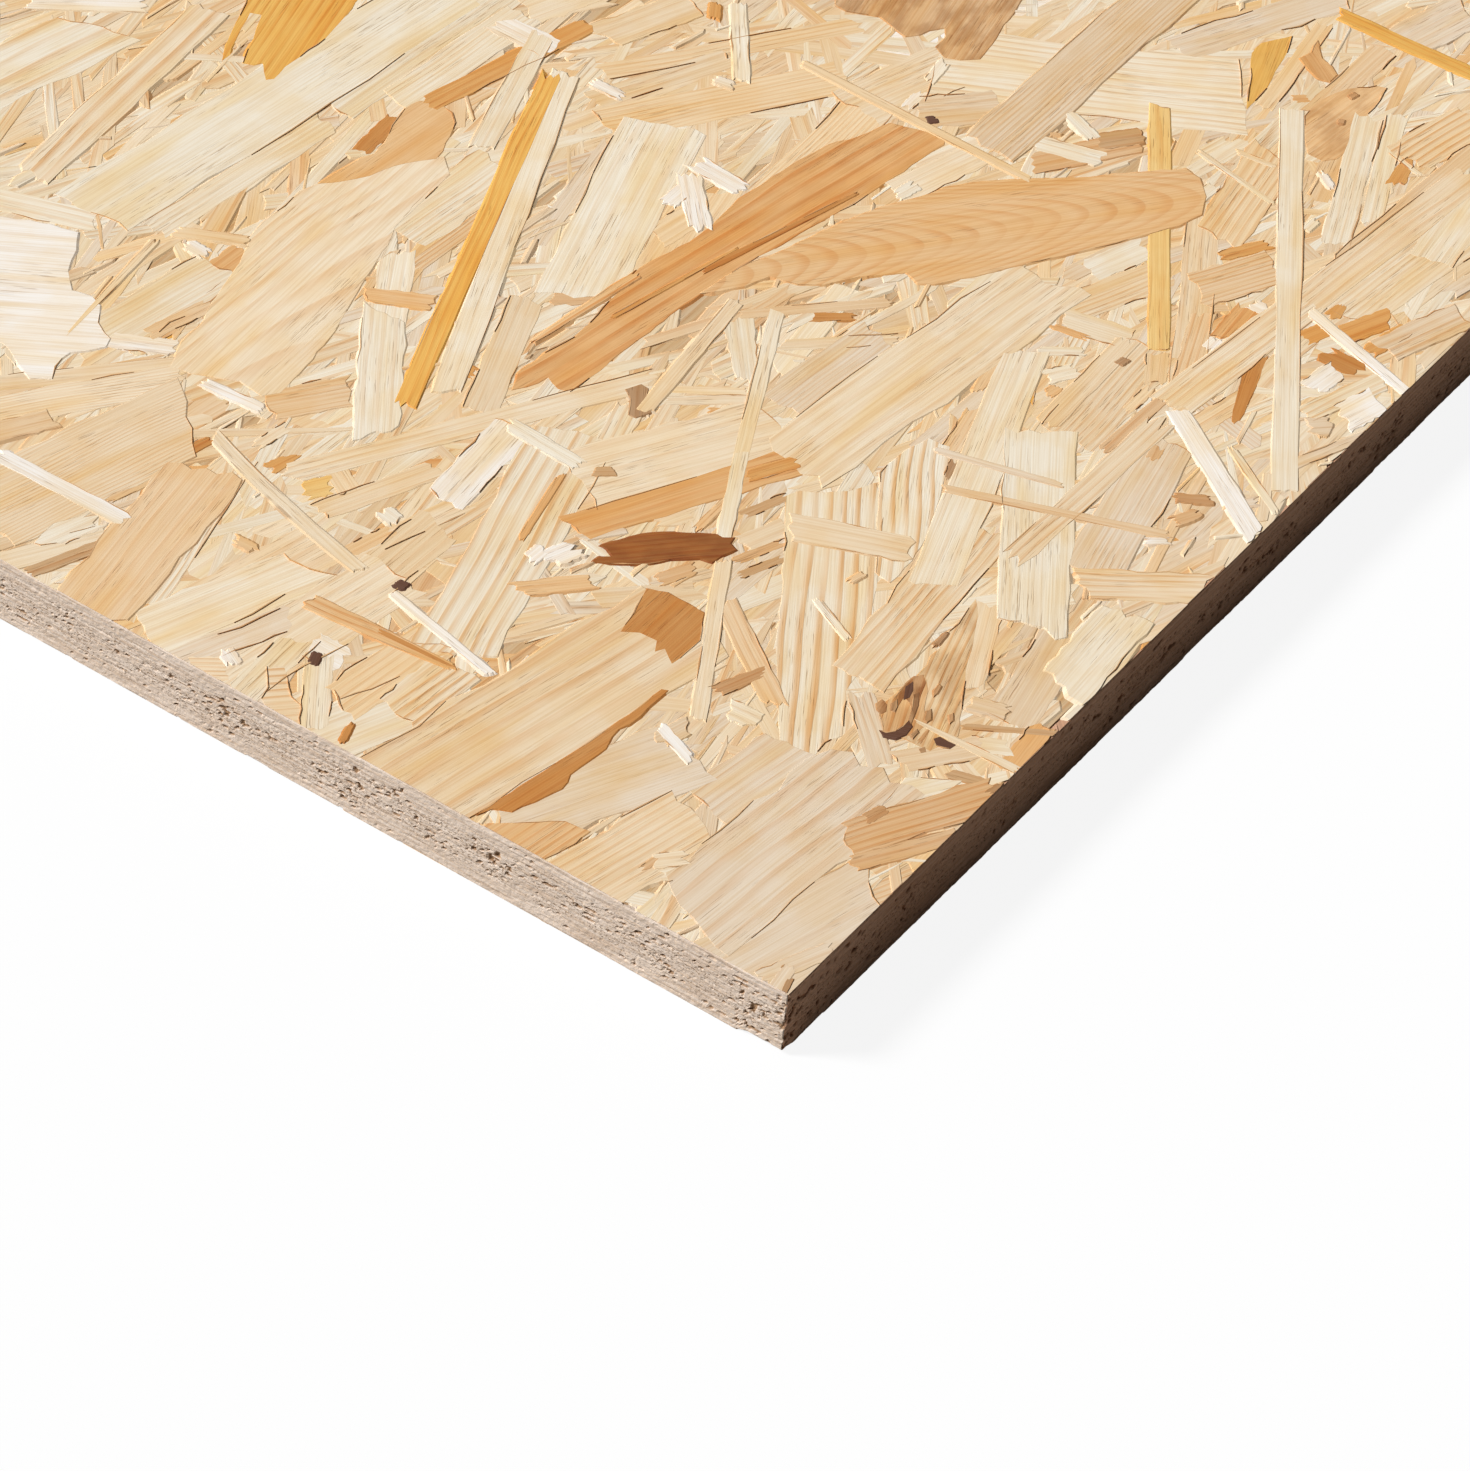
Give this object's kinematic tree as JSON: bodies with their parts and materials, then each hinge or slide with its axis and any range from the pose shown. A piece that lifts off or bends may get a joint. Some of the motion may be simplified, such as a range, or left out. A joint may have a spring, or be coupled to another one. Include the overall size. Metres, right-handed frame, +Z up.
{
  "type": "oriented strand board panel",
  "caption": "Flat, square-edged sheet of oriented strand board (OSB), pressed from overlapping softwood strands, used as raw stock for floors, walls and roofs.",
  "frame": {"origin": "centre of the underside, in the plane that the panel lies on", "axes": "+X along the panel's length, which is the main direction of its face strands, +Y across its width, +Z up through its thickness"},
  "size_m": [2.5, 1.25, 0.018],
  "materials": {
    "raw_strand_board": "raw pressed softwood strands, matt, with rough sawn edges"
  },
  "bodies": {
    "root": {"osb_panel": "raw_strand_board"}
  },
  "joints": []
}
